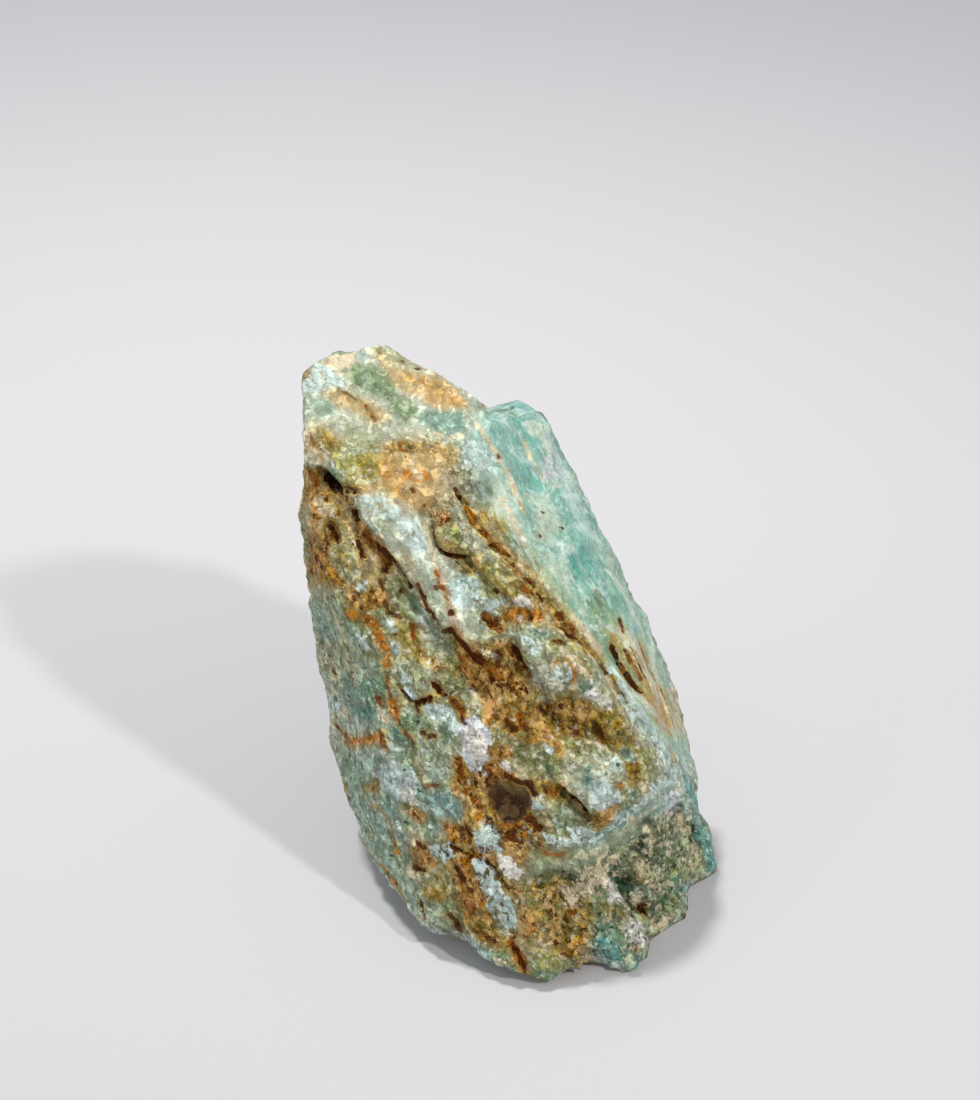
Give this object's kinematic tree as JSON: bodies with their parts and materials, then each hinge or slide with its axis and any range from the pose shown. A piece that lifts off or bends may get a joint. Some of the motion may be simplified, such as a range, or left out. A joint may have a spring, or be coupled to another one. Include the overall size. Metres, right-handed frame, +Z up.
{
  "type": "raw amazonite",
  "caption": "Rough broken chunk of blue-green amazonite feldspar, a leaning wedge with a foliated side, rust-stained cracks and a sparkling fracture at its foot.",
  "frame": {"origin": "centre of the bounding box at the base plane, the surface that the stone stands on", "axes": "+Z up from the base to the crown, -Y the front with the overhanging lobe, +X the foliated slab's side"},
  "size_m": [0.0616, 0.0634, 0.0778],
  "materials": {
    "amazonite": "rough broken feldspar, satin, mottled pale blue to sea green with cream, ochre and rust-brown stains"
  },
  "bodies": {
    "root": {"amazonite": "amazonite"}
  },
  "joints": []
}
